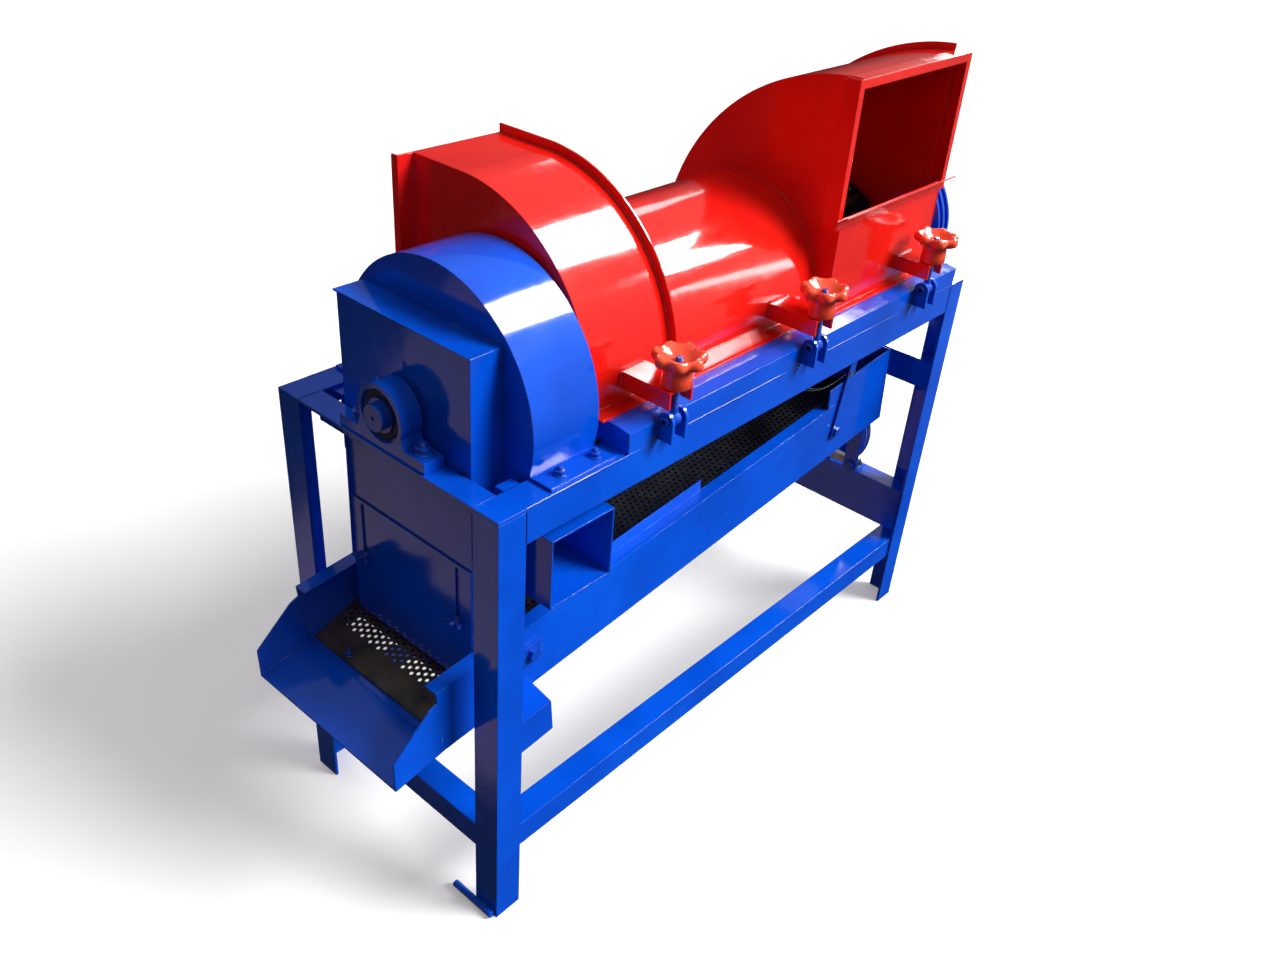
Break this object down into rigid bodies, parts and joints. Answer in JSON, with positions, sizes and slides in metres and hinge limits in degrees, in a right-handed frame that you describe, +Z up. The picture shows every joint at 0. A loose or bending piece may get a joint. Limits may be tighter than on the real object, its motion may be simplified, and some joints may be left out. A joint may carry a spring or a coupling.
{
  "type": "hammer mill",
  "caption": "Grain mill on an angle-iron stand: rotary drum under a clamped cover, side-mouthed feed hopper, suction fan and shaking sieve tray.",
  "frame": {"origin": "centre of the bounding box, on the floor", "axes": "+X from the fan end to the feed end, +Y from the clamp side to the discharge side, +Z up"},
  "size_m": [1.484, 0.539, 1.2389],
  "materials": {
    "blue_paint": "gloss enamel",
    "red_paint": "gloss enamel",
    "zinc_steel": "zinc plated",
    "bright_steel": "machined",
    "dark_steel": "mill scale",
    "knob_plastic": "moulded",
    "belt_rubber": "matt"
  },
  "bodies": {
    "stand": {"leg_near_front": "blue_paint", "leg_near_back": "blue_paint", "leg_far_front": "blue_paint", "leg_far_back": "blue_paint", "top_rail_front": "blue_paint", "top_rail_back": "blue_paint", "end_rail_near": "blue_paint", "end_rail_far": "blue_paint", "lower_rails": "blue_paint", "lower_cross_rail": "blue_paint", "far_cross_members": "blue_paint", "foot_bar": "blue_paint", "side_members": "blue_paint", "intake_box": "blue_paint", "fan_housing": "blue_paint", "suction_duct": "blue_paint", "pillow_block_near": "blue_paint", "pillow_block_far": "blue_paint", "end_plates": "blue_paint", "clevises": "blue_paint", "eccentric_housing": "blue_paint", "drum_cover": "red_paint", "discharge_housing": "red_paint", "feed_hopper": "red_paint", "clamp_brackets": "red_paint", "cover_hinges": "red_paint", "clevis_pins": "zinc_steel", "fixed_bolts": "zinc_steel", "bearing_outer_rings": "bright_steel", "drum_screen": "dark_steel", "drive_belt": "belt_rubber"},
    "drum": {"bearing_inner_rings": "bright_steel", "drum_shaft": "bright_steel", "drum_discs": "dark_steel", "peg_bars": "dark_steel", "fan_wheel": "dark_steel", "stepped_pulley": "blue_paint"},
    "eccentric": {"eccentric_shaft": "bright_steel", "eccentric_pulley": "blue_paint"},
    "tray": {"tray_sides": "blue_paint", "tray_floor": "blue_paint", "sieve_screen": "dark_steel", "tail_sieve": "dark_steel", "chute": "blue_paint", "grain_spout": "blue_paint", "tray_bolts": "zinc_steel"},
    "pitman": {"pitman": "bright_steel"},
    "gate": {"slide_gate": "blue_paint"},
    "nut_front": {"wing_nut_front": "zinc_steel"},
    "nut_back": {"wing_nut_back": "zinc_steel"},
    "hanger_near_front": {"hanger_near_front": "blue_paint"},
    "hanger_near_back": {"hanger_near_back": "blue_paint"},
    "hanger_far_front": {"hanger_far_front": "blue_paint"},
    "hanger_far_back": {"hanger_far_back": "blue_paint"},
    "bolt_near": {"swing_bolt_near": "zinc_steel"},
    "knob_near": {"star_knob_near": "knob_plastic"},
    "bolt_mid": {"swing_bolt_mid": "zinc_steel"},
    "knob_mid": {"star_knob_mid": "knob_plastic"},
    "bolt_far": {"swing_bolt_far": "zinc_steel"},
    "knob_far": {"star_knob_far": "knob_plastic"}
  },
  "joints": [
    {"name": "drum_spin", "type": "hinge", "parent": "stand", "child": "drum", "pos_m": [-0.01, 0.0275, 0.845], "axis": [1, 0, 0], "continuous": true},
    {"name": "eccentric_spin", "type": "hinge", "parent": "stand", "child": "eccentric", "pos_m": [0.608, 0.0275, 0.35], "axis": [1, 0, 0], "continuous": true},
    {"name": "tray_shake", "type": "slide", "parent": "stand", "child": "tray", "axis": [0, 1, 0], "range_m": [-0.004, 0.004]},
    {"name": "pitman_swing", "type": "hinge", "parent": "tray", "child": "pitman", "pos_m": [0.54, -0.1045, 0.35], "axis": [1, 0, 0], "range_deg": [-1.7, 1.7]},
    {"name": "gate_slide", "type": "slide", "parent": "stand", "child": "gate", "axis": [0, 0, 1], "range_m": [-0.014, 0]},
    {"name": "nut_front_turn", "type": "hinge", "parent": "stand", "child": "nut_front", "pos_m": [-0.572, -0.0825, 0.53], "axis": [1, 0, 0], "continuous": true},
    {"name": "nut_back_turn", "type": "hinge", "parent": "stand", "child": "nut_back", "pos_m": [-0.572, 0.1375, 0.53], "axis": [1, 0, 0], "continuous": true},
    {"name": "hanger_near_front_swing", "type": "hinge", "parent": "stand", "child": "hanger_near_front", "pos_m": [-0.534, -0.1465, 0.715], "axis": [1, 0, 0], "range_deg": [-0.92, 0.92]},
    {"name": "hanger_near_back_swing", "type": "hinge", "parent": "stand", "child": "hanger_near_back", "pos_m": [-0.534, 0.2015, 0.715], "axis": [1, 0, 0], "range_deg": [-0.92, 0.92]},
    {"name": "hanger_far_front_swing", "type": "hinge", "parent": "stand", "child": "hanger_far_front", "pos_m": [0.386, -0.1465, 0.715], "axis": [1, 0, 0], "range_deg": [-1.29, 1.29]},
    {"name": "hanger_far_back_swing", "type": "hinge", "parent": "stand", "child": "hanger_far_back", "pos_m": [0.386, 0.2015, 0.715], "axis": [1, 0, 0], "range_deg": [-1.29, 1.29]},
    {"name": "clamp_near_swing", "type": "hinge", "parent": "stand", "child": "bolt_near", "pos_m": [-0.285, -0.2285, 0.83], "axis": [1, 0, 0], "range_deg": [0, 150]},
    {"name": "knob_near_turn", "type": "hinge", "parent": "bolt_near", "child": "knob_near", "pos_m": [-0.285, -0.2285, 0.9], "axis": [0, 0, 1], "continuous": true},
    {"name": "clamp_mid_swing", "type": "hinge", "parent": "stand", "child": "bolt_mid", "pos_m": [0.079, -0.2285, 0.83], "axis": [1, 0, 0], "range_deg": [0, 150]},
    {"name": "knob_mid_turn", "type": "hinge", "parent": "bolt_mid", "child": "knob_mid", "pos_m": [0.079, -0.2285, 0.9], "axis": [0, 0, 1], "continuous": true},
    {"name": "clamp_far_swing", "type": "hinge", "parent": "stand", "child": "bolt_far", "pos_m": [0.443, -0.2285, 0.83], "axis": [1, 0, 0], "range_deg": [0, 150]},
    {"name": "knob_far_turn", "type": "hinge", "parent": "bolt_far", "child": "knob_far", "pos_m": [0.443, -0.2285, 0.9], "axis": [0, 0, 1], "continuous": true}
  ],
  "couplings": [
    {"joint": "eccentric_spin", "follows": "drum_spin", "ratio": 0.5798},
    {"joint": "hanger_near_front_swing", "follows": "tray_shake", "rad_per_m": 3.5712},
    {"joint": "hanger_near_back_swing", "follows": "tray_shake", "rad_per_m": 3.5712},
    {"joint": "hanger_far_front_swing", "follows": "tray_shake", "rad_per_m": 5.188},
    {"joint": "hanger_far_back_swing", "follows": "tray_shake", "rad_per_m": 5.188}
  ]
}
